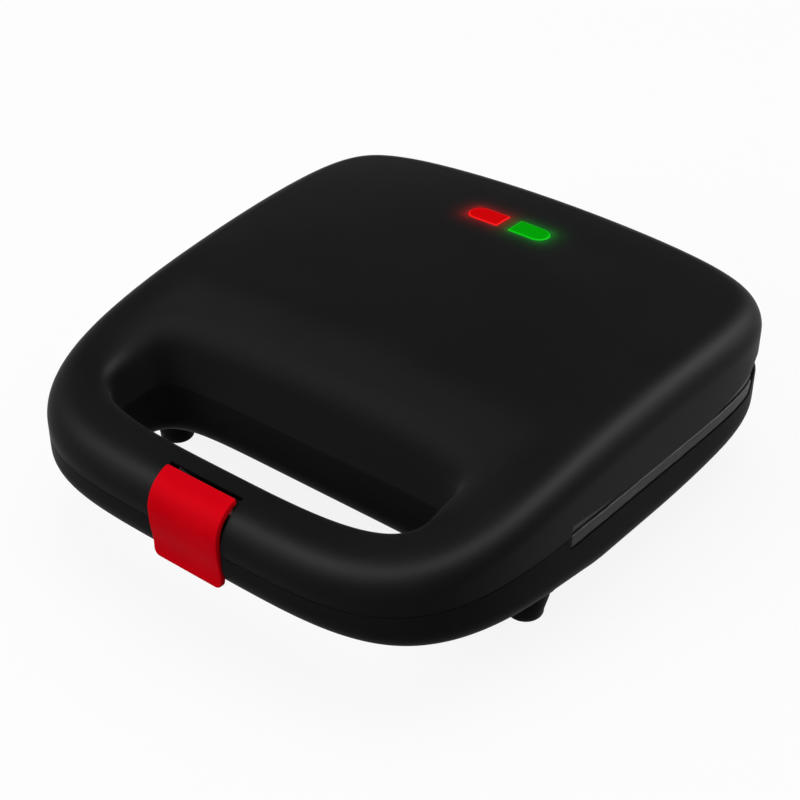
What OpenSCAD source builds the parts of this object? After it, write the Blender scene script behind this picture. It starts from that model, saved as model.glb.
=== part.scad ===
// Donut maker: two moulded half shells hinged at the rear, a carrying handle moulded into
// their front, and two cooking plates with six half rings each.
// X runs along the hinge, -Y is the handle's side, Z is up. The origin is on the floor,
// under the middle of the closed appliance.

/* [Housing] */
// Width of the housing, halfway along its depth
housing_w = 230; // [228:1:244]
// Depth of the housing with its handle
housing_d = 250.8; // [248:0.2:264]
// Half width gained at the rear and lost at the front
flare = 5.8; // [4:0.2:6.2]
// Squareness of the outline's front half
front_square = 4.4; // [4:0.1:7]
// Squareness of the outline's rear half
rear_square = 6.7; // [5:0.1:8]
// Thickness of the moulded walls
wall = 2.5; // [2.2:0.1:2.8]
// Height of the joint between base and lid
parting_z = 46.4; // [45.6:0.1:48]
// Open gap between the two shells' rims
seam = 0.6; // [0.4:0.1:0.8]

/* [Lid form] */
// Height of the lid's edge at the handle
lid_front_z = 62.2; // [60:0.1:66]
// Height of the lid's edge halfway
lid_mid_z = 79.4; // [78:0.1:84]
// Height of the lid's edge at the rear
lid_rear_z = 77.2; // [76:0.1:84]
// Rise of the lid's middle above its edges
lid_crown = 8.6; // [7:0.2:12]
// Radius of the lid's outer edge
lid_edge_r = 13; // [11:0.5:13]

/* [Base form] */
// Height of the base's underside above the floor
base_z = 12.7; // [11:0.1:14]
// Height of the handle's underside above the base's underside
handle_rise = 15.6; // [10:0.1:17]
// Depth over which the underside comes down from the handle
rise_d = 111; // [100:1:114]
// Radius of the base's lower edge along the sides
base_edge_r = 15; // [13:0.1:17]
// Radius of the base's lower edge at the rear
rear_edge_r = 20; // [16:0.1:21]
// Radius of the handle's lower edge
handle_edge_r = 13; // [10:0.5:13]

/* [Finger opening] */
// Width of the finger opening
opening_w = 156.8; // [140:0.2:158]
// Depth of the finger opening
opening_d = 45.7; // [42:0.1:47]
// Depth of the handle bar between the opening and the housing's front
grip_d = 25.9; // [25.4:0.1:28]
// Squareness of the opening's front half
opening_front_square = 3.4; // [3:0.1:5]
// Squareness of the opening's rear half
opening_rear_square = 7; // [4:0.1:8]
// Radius of the opening's edge on the handle
grip_edge_r = 10; // [8:0.5:10]
// Radius of the lid's brow above the opening
brow_r = 13; // [10:0.5:14]
// Radius of the base's lower edge behind the opening
heel_r = 12.8; // [11:0.1:15]

/* [Cooking plates] */
// Distance of the plates from the housing's sides, halfway along its depth
plate_inset = 4; // [4:0.1:5]
// Distance from the finger opening to the plates
plate_setback = 11.4; // [10.5:0.1:12]
// Room behind the plates for the hinges and the terminal block
rear_room = 17.9; // [17.4:0.1:19]
// Corner radius of a plate
plate_corner_r = 10; // [8:0.5:11]
// Thickness of a plate
plate_t = 3; // [2.6:0.1:3.2]
// Height of a plate's rim
rim_h = 6.2; // [5.5:0.1:7]
// Gap between the closed plates
plate_gap = 1.2; // [0.8:0.1:1.6]
// Distance between two rings
ring_pitch = 72; // [71.8:0.1:72.5]
// Outer diameter of a ring
ring_od = 66; // [62:0.5:66]
// Diameter of the post in a ring's middle
post_d = 18; // [16:0.5:20]
// Straight part of a ring's wall above its round bottom
ring_land = 1.5; // [1:0.1:2.5]
// Thickness of the cast wall round a ring
ring_wall = 2.8; // [2.5:0.1:2.8]

/* [Heating] */
// Diameter of the heating tube
heater_d = 6.5; // [6:0.1:7]
// Width of the heating loop
heater_w = 144; // [130:1:150]
// Depth of the heating loop
heater_l = 66; // [60:1:72]
// Radius of the loop's corners
heater_bend_r = 22; // [18:1:26]
// Gap between a heating tube's two ends
heater_ends = 40; // [30:1:50]
// Distance from a plate's side edges to the reflector
reflector_side = 12; // [11:0.5:16]
// Distance from a plate's front and rear edges to the reflector
reflector_end = 4; // [4:0.5:6]
// Thickness of the reflector's sheet
reflector_t = 0.8; // [0.6:0.1:1.2]
// Height of the reflector's turned-up rim
reflector_rim = 4; // [3:0.5:5]

/* [Plate screws] */
// Distance between the two screws of a row
screw_span = 72; // [71:0.5:73]
// Distance from a plate's edge to its screws
screw_edge = 13; // [12:0.1:14]
// Diameter of a screw's shank
screw_d = 3.5; // [3:0.1:4]
// Diameter of a screw's countersunk head
screw_head_d = 7; // [6.4:0.1:7.2]
// Length of a screw
screw_l = 14; // [12:0.5:16]
// Diameter of a boss that takes a screw
boss_d = 8; // [7.4:0.1:8.4]

/* [Hinge] */
// Distance of each hinge from the middle
hinge_x = 56; // [50:1:62]
// Distance of the hinge axis behind the housing
hinge_set = 1.1; // [1:0.1:1.4]
// Outer radius of a hinge ear
ear_r = 5.4; // [5:0.1:5.6]
// Width of the lid's ear
lid_ear_w = 11; // [9:0.5:13]
// Width of each of the base's two ears
base_ear_w = 6; // [5:0.5:7]
// Play between neighbouring ears
ear_play = 0.4; // [0.3:0.1:0.6]
// Diameter of a hinge pin
hinge_pin_d = 4; // [3.5:0.1:4.4]
// Radial play of a pin in its turning bore
pin_play = 0.05; // [0.03:0.01:0.08]

/* [Latch] */
// Width of the latch
latch_w = 35; // [32:0.5:40]
// Thickness of the latch
latch_t = 2.6; // [2.4:0.1:2.8]
// How far the latch stands proud of the handle
latch_proud = 1.6; // [1.4:0.1:1.8]
// Length of the latch below the parting joint
latch_drop = 16.6; // [16:0.1:17]
// How far the latch leans in towards the handle near its lower end
latch_lean = 1.4; // [1:0.1:1.6]
// Outward flare of the latch's lower lip
latch_lip = 0.4; // [0.2:0.1:1.2]
// Slot behind the latch's top edge, in which that edge swings back
latch_slot = 2.1; // [2:0.1:3]
// Diameter of the latch's pin
latch_pin_d = 3; // [2.6:0.1:3.2]
// Width of the hook
hook_w = 16; // [12:0.5:20]
// Gap between the latch and the handle's pocket
latch_play = 0.7; // [0.6:0.1:1]

/* [Lenses] */
// Length of a lens
lens_l = 17.5; // [15:0.5:19]
// Width of a lens
lens_w = 10.5; // [9:0.5:12]
// Gap between the two lenses
lens_gap = 5.5; // [4.6:0.1:7]
// Distance of the lenses from the housing's rear
lens_back = 45.7; // [43:0.1:48]

/* [Feet] */
// Half distance between the left and right feet
foot_x = 94.5; // [90:0.5:96]
// Distance from the housing's front to the front feet
foot_front = 88.4; // [85:0.1:92]
// Distance from the housing's rear to the rear feet
foot_rear = 30; // [28:0.5:36]
// Radius of a foot at its rubber pad
foot_r = 7.6; // [7:0.1:8.5]
// Radius of a foot at the base
foot_top_r = 9.8; // [9:0.1:10.5]
// Height of a rubber pad
pad_h = 2.6; // [2:0.1:3.5]

/* [Cord inlet] */
// Bore of the cord bush
cord_bore_d = 7; // [6:0.1:7.5]
// Outer diameter of the bush's neck
bush_d = 11; // [10:0.1:11.5]
// Height of the cord's axis above the floor
cord_z = 34.4; // [34.2:0.1:35]

/* [Hidden] */
$fn = 48;

// Places that follow from the driving dimensions
mid_y = (latch_proud - hinge_set - ear_r) / 2;
front_y = mid_y - housing_d / 2;
rear_y = mid_y + housing_d / 2;
hinge_y = rear_y + hinge_set;
opening_y = front_y + grip_d + opening_d / 2;
opening_rear_y = opening_y + opening_d / 2;
plate_front_y = opening_rear_y + plate_setback;
plate_rear_y = rear_y - rear_room;
plate_d = plate_rear_y - plate_front_y;
plate_y = (plate_front_y + plate_rear_y) / 2;
plate_w = housing_w - 2 * plate_inset;
reflector_w = plate_w - 2 * reflector_side;
reflector_d = plate_d - 2 * reflector_end;
ring_r = (ring_od + post_d) / 4;
tube_r = (ring_od - post_d) / 4;
ring_depth = tube_r + ring_land;

// As many rings as the plate has room for, and the land in the middle of four of them
columns = floor(plate_w / ring_pitch);
rows = floor(plate_d / ring_pitch);
ring_centres = [for (col = [0:columns - 1], row = [0:rows - 1])
    [(col - (columns - 1) / 2) * ring_pitch, (row - (rows - 1) / 2) * ring_pitch]];
land_x = columns % 2 == 0 ? 0 : ring_pitch / 2;
land_y = rows % 2 == 0 ? 0 : ring_pitch / 2;
screw_places = [for (sx = [-1, 1], sy = [-1, 1])
    [sx * screw_span / 2, plate_y + sy * (plate_d / 2 - screw_edge)]];
lens_y = rear_y - lens_back;
lamp_drop = 5;
fit = 0.15;
far = 400;

// Heights of the layers above or below the parting joint, the same in base and lid
land_h = plate_gap / 2;
notch_h = land_h + rim_h + 0.4;
notch_l = plate_d - 2 * plate_corner_r + 8.5;
back_h = land_h + plate_t;
ring_back_h = land_h + ring_depth + ring_wall;
heater_h = ring_back_h + 0.1 + heater_d / 2;
reflector_h = heater_h + heater_d / 2 + 1.8;

// Smooth step from 0 at x0 to 1 at x1
function ease(x, x0, x1) = let (s = min(1, max(0, (x - x0) / (x1 - x0)))) s * s * (3 - 2 * s);

// ---------- outlines ----------
steps = 72;
spread = 0.62;

// Point of a rounded square of half width 1 at angle t; spread gathers points in the corners
function square_point(t, n) = let (
        c = sign(cos(t)) * pow(abs(cos(t)), spread),
        s = sign(sin(t)) * pow(abs(sin(t)), spread),
        r = pow(pow(abs(c), n) + pow(abs(s), n), -1 / n))
    [c * r, s * r];

// Outward unit normal of that square, stretched to half sizes a and b
function square_normal(p, n, a, b) = let (
        g = [sign(p[0]) * pow(abs(p[0]), n - 1) / a, sign(p[1]) * pow(abs(p[1]), n - 1) / b])
    g / norm(g);

// The housing's outline at angle t, moved inwards by inset
function outline(t, inset = 0) = let (
        n = sin(t) < 0 ? front_square : rear_square,
        p = square_point(t, n))
    [(housing_w / 2 + flare * p[1]) * p[0], mid_y + housing_d / 2 * p[1]]
        - inset * square_normal(p, n, housing_w / 2, housing_d / 2);

// The opening lies far forward, so its points are turned to face the housing's points
function opening_angle(t) = t + 30 * cos(t);

// The finger opening's outline at angle t, moved outwards by grow
function opening(t, grow = 0) = let (
        turned = opening_angle(t),
        n = sin(turned) < 0 ? opening_front_square : opening_rear_square,
        p = square_point(turned, n))
    [opening_w / 2 * p[0], opening_y + opening_d / 2 * p[1]]
        + grow * square_normal(p, n, opening_w / 2, opening_d / 2);

// ---------- faces of the two shells ----------
// How far a point lies from the front (0) to the rear (1)
function depth_share(y) = (y - front_y) / housing_d;

// Height of the lid's top: a curve through three edge heights, crowned towards the middle
function lid_face(p) = let (s = depth_share(p[1]))
    lid_front_z * 2 * (s - 0.5) * (s - 1) + lid_mid_z * 4 * s * (1 - s)
        + lid_rear_z * 2 * s * (s - 0.5)
        + lid_crown * (1 - pow(2 * p[0] / housing_w, 2)) * ease(s, 0.08, 0.46);

// Height of the base's underside, which rises towards the handle
function base_face(p) = base_z + handle_rise * (1 - min(1, (p[1] - front_y) / rise_d));

// Radius of the outer edge and of the opening's edge at angle t
function outer_r(t, is_lid) = let (s = depth_share(outline(t)[1]))
    is_lid ? lid_edge_r : handle_edge_r + (base_edge_r - handle_edge_r) * ease(s, 0.2, 0.42)
        + (rear_edge_r - base_edge_r) * ease(s, 0.6, 0.95);
function inner_r(t, is_lid) = is_lid
    ? grip_edge_r + (brow_r - grip_edge_r) * ease(sin(opening_angle(t)), -0.7, 0.9)
    : grip_edge_r + (heel_r - grip_edge_r) * ease(sin(opening_angle(t)), 0.35, 0.99);

// One point of a shell's skin, in from the outer face by depth w. A station is
// [0] the rim, [1, angle] the outer edge, [2, share] the face,
// [3, angle] the opening's edge, or [4] the opening's rim.
function skin_point(st, t, w, is_lid) = let (
        ro = outer_r(t, is_lid),
        ri = inner_r(t, is_lid),
        r = st[0] == 1 ? ro : st[0] == 3 ? ri : w,
        q = st[0] == 1 || st[0] == 3 ? st[1] : 90,
        across = r - (r - w) * cos(q),
        p = st[0] == 0 ? outline(t, w) : st[0] == 4 ? opening(t, w)
            : st[0] == 1 ? outline(t, across) : st[0] == 3 ? opening(t, across)
            : outline(t, ro) * (1 - st[1]) + opening(t, ri) * st[1],
        drop = r - (r - w) * sin(q),
        rim = st[0] == 0 || st[0] == 4,
        z = is_lid ? (rim ? parting_z + seam / 2 : lid_face(p) - drop)
            : (rim ? parting_z - seam / 2 : base_face(p) + drop))
    [p[0], p[1], z];

outer_stations = [[0], [1, 0], [1, 22], [1, 45], [1, 68], [1, 90], [2, 0.2], [2, 0.4], [2, 0.6],
    [2, 0.8], [3, 90], [3, 68], [3, 45], [3, 22], [3, 0], [4]];
inner_stations = [[4], [3, 0], [3, 45], [3, 90], [2, 0.67], [2, 0.33], [1, 90], [1, 45],
    [1, 0], [0]];

function skin(stations, w, is_lid) =
    [for (st = stations) [for (i = [0:steps - 1]) skin_point(st, i * 360 / steps, w, is_lid)]];

// A closed ring of quadrilaterals through a list of loops, the last one joined to the first
module ring_body(loops, is_lid) {
    last = len(loops);
    faces = [for (k = [0:last - 1], i = [0:steps - 1]) let (
            a = k * steps + i,
            b = k * steps + (i + 1) % steps,
            c = ((k + 1) % last) * steps + (i + 1) % steps,
            d = ((k + 1) % last) * steps + i)
        each (is_lid ? [[a, d, c], [a, c, b]] : [[a, b, c], [a, c, d]])];
    polyhedron([for (loop = loops) each loop], faces, convexity = 8);
}

// A half shell: one moulded skin round the finger opening
module half_shell(is_lid) {
    ring_body(concat(skin(outer_stations, 0, is_lid), skin(inner_stations, wall, is_lid)), is_lid);
}

// The same form without its hollow, shrunk by inset
module solid_form(inset, is_lid) {
    ring_body(skin(outer_stations, inset, is_lid), is_lid);
}

// ---------- helpers ----------
// Puts children at the parting joint, upright for the lid and upside down for the base
module from_parting(is_lid) {
    translate([0, 0, parting_z]) mirror([0, 0, is_lid ? 0 : 1]) children();
}

module both_sides() {
    children();
    mirror([1, 0, 0]) children();
}

// Block from low corner to high corner
module block(low, high) {
    translate(low) cube(high - low);
}

// Prism of a YZ outline, centred on x = 0
module across_x(width, points) {
    rotate([90, 0, 90]) translate([0, 0, -width / 2]) linear_extrude(width) polygon(points);
}

module x_cylinder(x0, x1, y, z, r) {
    translate([x0, y, z]) rotate([0, 90, 0]) cylinder(h = x1 - x0, r = r);
}

module rounded_plate(w, d, r, h) {
    linear_extrude(h) union() {
        square([w - 2 * r, d], center = true);
        square([w, d - 2 * r], center = true);
        for (sx = [-1, 1], sy = [-1, 1])
            translate([sx * (w / 2 - r), sy * (d / 2 - r)]) circle(r);
    }
}

// Countersunk screw with its head's face at z = 0, pointing down
module countersunk_screw(d, head_d, length) {
    slot_w = d / 4;
    difference() {
        rotate_extrude() polygon([[0, 0], [head_d / 2, 0], [head_d / 2, -0.4],
            [d / 2, -(head_d - d) / 2 - 0.4], [d / 2, -length + d / 2], [0.3, -length], [0, -length]]);
        for (turn = [0, 90])
            rotate(turn) translate([0, 0, -0.4])
                cube([head_d * 0.55, slot_w, 1.2], center = true);
    }
}

// Hole that takes the screw's head and shank
module countersink(d, head_d, length) {
    rotate_extrude() polygon([[0, 1], [head_d / 2 + fit, 1], [head_d / 2 + fit, -0.4],
        [d / 2 + fit, -(head_d - d) / 2 - 0.4], [d / 2 + fit, -length], [0, -length]]);
}

// ---------- shell details ----------
// Notch at both sides that bares the plates' edges
module side_notches(is_lid) {
    from_parting(is_lid) both_sides()
        block([plate_w / 2 - 6, plate_y - notch_l / 2, -1], [far, plate_y + notch_l / 2, notch_h]);
}

// Thickening behind the hinge ears, inside the rear wall
module hinge_backing(is_lid) {
    half_w = lid_ear_w / 2 + base_ear_w + ear_play + 3;
    from_parting(is_lid) both_sides()
        block([hinge_x - half_w, rear_y - wall - 5, seam / 2],
            [hinge_x + half_w, rear_y - wall / 2, ear_r + 4]);
}

// Room for the ears in the rear wall
module hinge_room() {
    half_w = lid_ear_w / 2 + base_ear_w + 2 * ear_play;
    both_sides() x_cylinder(hinge_x - half_w, hinge_x + half_w, hinge_y, parting_z, ear_r + 0.6);
}

gusset_h = 15;

// An ear of the given width and its gusset to the rear wall
module ear(width, is_lid) {
    from_parting(is_lid) {
        x_cylinder(-width / 2, width / 2, hinge_y, 0, ear_r);
        across_x(width, [[hinge_y - ear_r + 0.5, 0], [hinge_y + ear_r, 0],
            [rear_y + 0.2, gusset_h], [rear_y - wall + 0.5, gusset_h],
            [rear_y - wall + 0.5, ear_r + 2], [hinge_y - ear_r - 1.2, ear_r - 2.2]]);
    }
}

module lid_ears() {
    difference() {
        both_sides() translate([hinge_x, 0, 0]) ear(lid_ear_w, true);
        x_cylinder(-far, far, hinge_y, parting_z, hinge_pin_d / 2 + pin_play);
    }
}

base_ear_shift = lid_ear_w / 2 + ear_play + base_ear_w / 2;

module base_ears() {
    difference() {
        both_sides() for (s = [-1, 1])
            translate([hinge_x + s * base_ear_shift, 0, 0]) ear(base_ear_w, false);
        x_cylinder(-far, far, hinge_y, parting_z, hinge_pin_d / 2);
    }
}

// Bosses that carry the reflector on a step and take the plate's screws
module plate_bosses(is_lid) {
    for (p = screw_places) {
        foremost = [p[0], p[1] - boss_d / 2 - 1.7];
        face = is_lid ? lid_face(foremost) - parting_z - 0.7 : parting_z - base_face(foremost);
        from_parting(is_lid) translate([p[0], p[1], 0]) {
            translate([0, 0, back_h]) cylinder(h = face - 0.5 * wall - back_h, d = boss_d);
            translate([0, 0, reflector_h + reflector_t])
                cylinder(h = face - 0.5 * wall - reflector_h - reflector_t, d = boss_d + 3.4);
        }
    }
}

module plate_boss_bores(is_lid) {
    for (p = screw_places)
        from_parting(is_lid) translate([p[0], p[1], back_h - 1])
            cylinder(h = screw_l, d = screw_d);
}

// ---------- handle covers ----------
cover_t = 2;
cover_play = 0.3;
cover_from = 207;
cover_to = 333;
cover_steps = 28;
cover_screw_t = 242;
cover_boss_d = 6.5;
cover_screw_d = 2.6;
cover_screw_l = 9;

// Middle of the handle bar at angle t
function handle_middle(t) = (outline(t, wall) + opening(t, wall)) / 2;
cover_screws = [for (s = [-1, 1]) let (p = handle_middle(cover_screw_t)) [s * abs(p[0]), p[1]]];

module cover_outline() {
    angles = [for (i = [0:cover_steps]) cover_from + i * (cover_to - cover_from) / cover_steps];
    backwards = [for (i = [0:cover_steps]) angles[cover_steps - i]];
    polygon(concat([for (t = angles) outline(t, wall + cover_play)],
        [for (t = backwards) opening(t, wall + cover_play)]));
}

// Strip that closes a half of the handle from the parting joint, round the latch's pocket
module handle_cover(is_lid) {
    difference() {
        from_parting(is_lid) translate([0, 0, seam / 2]) linear_extrude(cover_t) cover_outline();
        block([-core_half_w - cover_play, front_y - 1, 0],
            [core_half_w + cover_play, core_rear_y(is_lid) + cover_play, far]);
        for (p = cover_screws)
            from_parting(is_lid) translate([p[0], p[1], seam / 2]) mirror([0, 0, 1])
                countersink(cover_screw_d, cover_screw_d * 2, cover_t + 1);
    }
}

// Bosses under the cover's screws
module cover_bosses(is_lid) {
    for (p = cover_screws) {
        face = is_lid ? lid_face(p) - parting_z : parting_z - base_face(p);
        from_parting(is_lid) translate([p[0], p[1], seam / 2 + cover_t])
            cylinder(h = face - seam / 2 - cover_t - wall / 2, d = cover_boss_d);
    }
}

module cover_boss_bores(is_lid) {
    for (p = cover_screws)
        from_parting(is_lid) translate([p[0], p[1], 0]) cylinder(h = cover_screw_l + 1, d = cover_screw_d);
}

module handle_screws(is_lid) {
    for (p = cover_screws)
        from_parting(is_lid) translate([p[0], p[1], seam / 2]) mirror([0, 0, 1])
            countersunk_screw(cover_screw_d, cover_screw_d * 2, cover_screw_l);
}

// ---------- latch ----------
// The latch wraps the handle: an arc round the lid's edge, then straight down to the lip
handle_top_z = lid_face([0, front_y + lid_edge_r]);
arc_y = front_y + lid_edge_r;
arc_z = handle_top_z - lid_edge_r;
latch_r = lid_edge_r + latch_proud;
latch_arc = [for (a = [99:9:180]) a];
pivot_y = arc_y - 4.4;
pivot_z = handle_top_z + latch_proud - latch_t - 3.6;
latch_ear_r = 3.6;
latch_ear_x = 12;
latch_ear_w = 4;
latch_corner_r = 3.2;
latch_low_z = parting_z - latch_drop;
pocket_half_w = latch_w / 2 + latch_play;
core_half_w = pocket_half_w + wall;
pocket_rear_y = arc_y + latch_r * cos(latch_arc[0]) + latch_slot;
pocket_floor_z = pivot_z - latch_ear_r - 0.9;
base_pocket_y = front_y + 3.5;
hook_depth = 3;
hook_top_z = latch_low_z + 6.4;
function core_rear_y(is_lid) = is_lid ? pocket_rear_y + wall : base_pocket_y + wall + 0.5;

// Outer line of the latch's section below its arc, as [y, z]; the inner line lies latch_t behind
latch_line = [
    [arc_y - latch_r, arc_z],
    [arc_y - latch_r + latch_lean * 0.15, parting_z - 1],
    [arc_y - latch_r + latch_lean * 0.85, latch_low_z + 8.5],
    [arc_y - latch_r + latch_lean, latch_low_z + 5],
    [arc_y - latch_r + latch_lean - latch_lip * 0.3, latch_low_z + 2.5],
    [arc_y - latch_r + latch_lean - latch_lip, latch_low_z]];
function arc_point(r, a) = [arc_y + r * cos(a), arc_z + r * sin(a)];

module latch_section() {
    polygon(concat([for (a = latch_arc) arc_point(latch_r, a)],
        [for (i = [1:len(latch_line) - 1]) latch_line[i]],
        [for (i = [len(latch_line) - 1:-1:1]) latch_line[i] + [latch_t, i == 5 ? -0.6 : 0]],
        [for (i = [len(latch_arc) - 1:-1:0]) arc_point(latch_r - latch_t, latch_arc[i])]));
}

module latch() color("#c00814") difference() {
    union() {
        intersection() {
            rotate([90, 0, 90]) translate([0, 0, -latch_w / 2]) linear_extrude(latch_w)
                latch_section();
            // Rounded corners, seen from the front
            translate([0, front_y - far / 2, 0]) rotate([-90, 0, 0]) mirror([0, 1, 0])
                linear_extrude(far) translate([0, (latch_low_z + handle_top_z) / 2 + latch_corner_r])
                    rounded_rectangle(latch_w, handle_top_z - latch_low_z + 2 * latch_corner_r,
                        latch_corner_r);
        }
        // Ears that hang on the pin
        for (s = [-1, 1]) translate([s * latch_ear_x, 0, 0]) {
            x_cylinder(-latch_ear_w / 2, latch_ear_w / 2, pivot_y, pivot_z, latch_ear_r);
            across_x(latch_ear_w, [[pivot_y - 3.4, pivot_z - 1.2], [pivot_y + 3.4, pivot_z - 1.2],
                [pivot_y + 2.4, pivot_z + 3.6], [pivot_y - 1, pivot_z + 4.4],
                [pivot_y - 6, pivot_z + 2.6], [arc_y - latch_r + latch_t - 0.5, pivot_z - 1.2]]);
        }
        // Hook under the ledge of the base's handle
        across_x(hook_w, [[latch_line[3][0] + latch_t - 0.5, hook_top_z - 3.8],
            [latch_line[3][0] + latch_t + hook_depth - 1, hook_top_z - 2.4],
            [latch_line[3][0] + latch_t + hook_depth, hook_top_z - 1.4],
            [latch_line[3][0] + latch_t + hook_depth, hook_top_z],
            [latch_line[3][0] + latch_t - 0.5, hook_top_z]]);
    }
    x_cylinder(-far, far, pivot_y, pivot_z, latch_pin_d / 2 + pin_play);
}

module rounded_rectangle(w, h, r) {
    union() {
        square([w - 2 * r, h], center = true);
        square([w, h - 2 * r], center = true);
        for (sx = [-1, 1], sy = [-1, 1])
            translate([sx * (w / 2 - r), sy * (h / 2 - r)]) circle(r);
    }
}

module latch_pin() color("silver")
    x_cylinder(-core_half_w + 0.5, core_half_w - 0.5, pivot_y, pivot_z, latch_pin_d / 2);

// Solid core of the handle round the latch's pocket
module latch_core(is_lid) {
    intersection() {
        solid_form(wall / 3, is_lid);
        block([-core_half_w, front_y - 1, 0], [core_half_w, core_rear_y(is_lid), far]);
    }
}

module latch_pocket(is_lid) {
    if (is_lid) {
        // Room in front of the handle, and the chamber in which the ears swing
        block([-pocket_half_w, front_y - 20, 0], [pocket_half_w, front_y + latch_t
            - latch_proud + latch_play, pocket_floor_z + 1]);
        block([-pocket_half_w, front_y - 20, pocket_floor_z], [pocket_half_w, pocket_rear_y, far]);
        x_cylinder(-core_half_w + 0.5, core_half_w - 0.5, pivot_y, pivot_z, latch_pin_d / 2);
    } else {
        block([-pocket_half_w, front_y - 20, 0], [pocket_half_w, base_pocket_y, far]);
        // Slot that takes the hook
        block([-hook_w / 2 - 1, front_y - 20, hook_top_z - 5.4],
            [hook_w / 2 + 1, base_pocket_y + 2.2, hook_top_z + 0.5]);
    }
}

// ---------- base ----------
foot_places = [for (sx = [-1, 1], y = [front_y + foot_front, rear_y - foot_rear]) [sx * foot_x, y]];
plug_r = 3;
plug_h = 4;

module foot_posts() {
    for (p = foot_places) translate([p[0], p[1], 0]) let (
            top = base_face(p - [0, foot_top_r]) + 0.4 * wall)
        rotate_extrude() polygon([[0, pad_h], [foot_r, pad_h], [foot_top_r, base_z - 1],
            [foot_top_r, top], [0, top]]);
}

module foot_pads() color("#141414")
    for (p = foot_places) translate([p[0], p[1], 0]) {
        edge_r = 1.4;
        rotate_extrude() union() {
            square([foot_r - edge_r, pad_h]);
            translate([0, edge_r]) square([foot_r, pad_h - edge_r]);
            translate([foot_r - edge_r, edge_r]) circle(edge_r);
        }
        cylinder(h = pad_h + plug_h - 0.5, r = plug_r);
    }

vent_w = 3;
vent_l = 22;
vent_pitch = 8;
vent_row_y = 34;
module vents() {
    for (s = [-1, 1], i = [-3:3])
        translate([i * vent_pitch, plate_y + s * vent_row_y, base_z - 1]) {
            translate([-vent_w / 2, -vent_l / 2, 0]) cube([vent_w, vent_l, wall + 2]);
            for (e = [-1, 1]) translate([0, e * vent_l / 2, 0])
                cylinder(h = wall + 2, d = vent_w);
        }
}

module base_shell() color("#1a1a1b") union() {
    difference() {
        union() {
            half_shell(false);
            latch_core(false);
            hinge_backing(false);
            plate_bosses(false);
            cover_bosses(false);
            block_stand();
            foot_posts();
        }
        side_notches(false);
        hinge_room();
        latch_pocket(false);
        plate_boss_bores(false);
        cover_boss_bores(false);
        vents();
        for (p = foot_places) translate([p[0], p[1], 0]) cylinder(h = pad_h + plug_h, r = plug_r);
        translate([0, rear_y - 3 * wall, cord_z]) rotate([-90, 0, 0])
            cylinder(h = 6 * wall, d = bush_d);
    }
    base_ears();
}

module base_handle_cover() color("#1c1c1d") handle_cover(false);
module base_handle_screws() color("silver") handle_screws(false);

// ---------- plates and heating, built upwards from the parting joint ----------
module plate(is_lid) {
    translate([0, plate_y, 0]) from_parting(is_lid) difference() {
        union() {
            translate([0, 0, land_h]) rounded_plate(plate_w, plate_d, plate_corner_r, rim_h);
            for (c = ring_centres) translate([c[0], c[1], land_h + ring_land]) intersection() {
                rotate_extrude() translate([ring_r, 0]) circle(tube_r + ring_wall);
                cylinder(h = far, r = ring_od);
            }
            for (c = ring_centres) translate([c[0], c[1], land_h])
                cylinder(h = rim_h, r = ring_od / 2 + ring_wall);
        }
        // Hollow behind the land, inside the rim and round the rings
        difference() {
            translate([0, 0, back_h]) rounded_plate(plate_w - 2 * plate_t, plate_d - 2 * plate_t,
                plate_corner_r - plate_t, far);
            for (c = ring_centres) translate([c[0], c[1], 0]) ring_casting();
        }
        for (c = ring_centres) translate([c[0], c[1], land_h + ring_land]) {
            rotate_extrude() translate([ring_r, 0]) circle(tube_r);
            translate([0, 0, -far]) difference() {
                cylinder(h = far, d = ring_od);
                translate([0, 0, -1]) cylinder(h = far + 2, d = post_d);
            }
        }
        for (p = screw_places) translate([p[0], p[1] - plate_y, land_h]) mirror([0, 0, 1])
            countersink(screw_d, screw_head_d, plate_t + 1);
    }
}

// Everything that the casting keeps behind one ring
module ring_casting() {
    difference() {
        union() {
            cylinder(h = land_h + ring_land, r = ring_od / 2 + ring_wall);
            translate([0, 0, land_h + ring_land]) rotate_extrude()
                translate([ring_r, 0]) circle(tube_r + ring_wall);
        }
        translate([0, 0, back_h]) cylinder(h = far, r = ring_r - tube_r - ring_wall);
    }
}

module lower_plate() color("#3a3a3c") plate(false);
module upper_plate() color("#3a3a3c") plate(true);

module plate_screws(is_lid) {
    for (p = screw_places) from_parting(is_lid) translate([p[0], p[1], land_h + 0.1])
        mirror([0, 0, 1]) countersunk_screw(screw_d, screw_head_d, screw_l);
}
module lower_plate_screws() color("silver") plate_screws(false);
module upper_plate_screws() color("silver") plate_screws(true);

// Straight run of heating tube from p to q in the loop's plane
module tube_run(p, q, r) {
    d = q - p;
    translate([p[0], p[1], 0]) rotate([0, 0, atan2(d[1], d[0])]) rotate([0, 90, 0])
        cylinder(h = norm(d), r = r);
}

// Loop with round corners, open at the rear, where its two ends turn away from the plate
module heater(is_lid) {
    a = heater_w / 2;
    b = heater_l / 2;
    r = heater_bend_r;
    from_parting(is_lid) translate([0, plate_y, heater_h]) {
        tube_run([-a + r, -b], [a - r, -b], heater_d / 2);
        both_sides() {
            translate([a - r, -b + r, 0]) rotate(270) rotate_extrude(angle = 90)
                translate([r, 0]) circle(heater_d / 2);
            tube_run([a, -b + r], [a, b - r], heater_d / 2);
            translate([a - r, b - r, 0]) rotate_extrude(angle = 90)
                translate([r, 0]) circle(heater_d / 2);
            tube_run([heater_ends / 2, b], [a - r, b], heater_d / 2);
            tube_run([heater_ends / 2 - 8, b], [heater_ends / 2, b], 1.2);
        }
    }
}
module lower_heater() color("#8a8378") heater(false);
module upper_heater() color("#8a8378") heater(true);

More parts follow.
